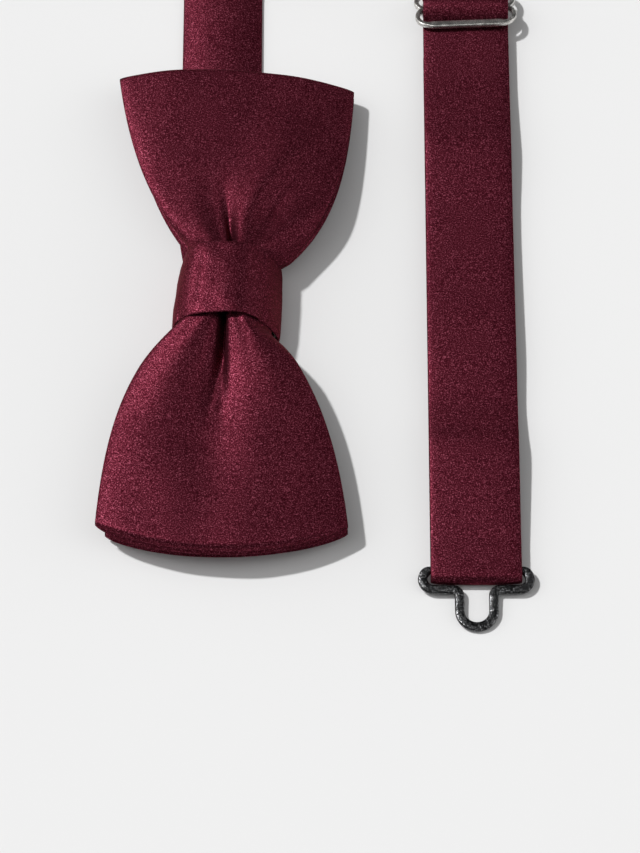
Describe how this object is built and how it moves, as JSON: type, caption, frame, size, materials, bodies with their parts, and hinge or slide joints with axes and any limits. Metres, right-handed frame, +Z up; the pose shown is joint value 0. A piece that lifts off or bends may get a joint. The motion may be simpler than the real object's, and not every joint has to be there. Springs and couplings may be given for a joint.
{
  "type": "bow tie",
  "caption": "Pre-tied satin bow tie with a gathered double bow, a knot band, and an adjustable neck strap closed by a hook and eye.",
  "frame": {"origin": "centre of the knot's flat underside, on the plane that the tie rests on", "axes": "+Z up out of the bow's face, +Y along the bow towards the back-of-neck turn of the strap, +X across the bow towards the adjustable end of the strap"},
  "size_m": [0.0934, 0.214, 0.0195],
  "materials": {
    "satin": "dark burgundy satin with a fine sparkling grain",
    "interlining": "unbleached woven interlining",
    "sewing_thread": "burgundy sewing thread",
    "gunmetal": "black nickel with a fine rough speckle",
    "nickel": "bright nickel"
  },
  "bodies": {
    "bow_and_neck_strap": {"front_bow_satin": "satin", "front_bow_interlining": "interlining", "back_bow_satin": "satin", "back_bow_interlining": "interlining", "waist_gathering_thread": "sewing_thread", "knot_band_satin": "satin", "knot_band_interlining": "interlining", "knot_closing_stitches": "sewing_thread", "neck_strap_satin": "satin", "neck_strap_interlining": "interlining", "hook_bar_tack": "sewing_thread", "upper_run_satin": "satin", "upper_run_interlining": "interlining"},
    "hook": {"hook": "gunmetal"},
    "slider": {"slider": "nickel", "slider_thread_satin": "satin", "slider_thread_interlining": "interlining", "strap_end_satin": "satin", "strap_end_interlining": "interlining", "slider_bar_tack": "sewing_thread", "standing_run_satin": "satin", "standing_run_interlining": "interlining", "return_run_satin": "satin", "return_run_interlining": "interlining"},
    "eye_fold": {"eye_fold_satin": "satin", "eye_fold_interlining": "interlining"},
    "eye": {"eye": "gunmetal"}
  },
  "joints": [
    {"name": "hook_swing", "type": "hinge", "parent": "bow_and_neck_strap", "child": "hook", "pos_m": [-0.0022, -0.034, 0.0018], "axis": [1, 0, 0], "range_deg": [0, 110]},
    {"name": "slider_slide", "type": "slide", "parent": "bow_and_neck_strap", "child": "slider", "axis": [0, -1, 0], "range_m": [-0.01, 0.25], "deforming": ["upper_run_satin", "upper_run_interlining"]},
    {"name": "eye_travel", "type": "slide", "parent": "slider", "child": "eye_fold", "axis": [0, 1, 0], "range_m": [-0.005, 0.125], "deforming": ["standing_run_satin", "standing_run_interlining", "return_run_satin", "return_run_interlining"]},
    {"name": "eye_swing", "type": "hinge", "parent": "eye_fold", "child": "eye", "pos_m": [0.0544, -0.0647, 0.0018], "axis": [-1, 0, 0], "range_deg": [0, 140]}
  ],
  "couplings": [
    {"joint": "eye_travel", "follows": "slider_slide", "ratio": 0.5}
  ]
}
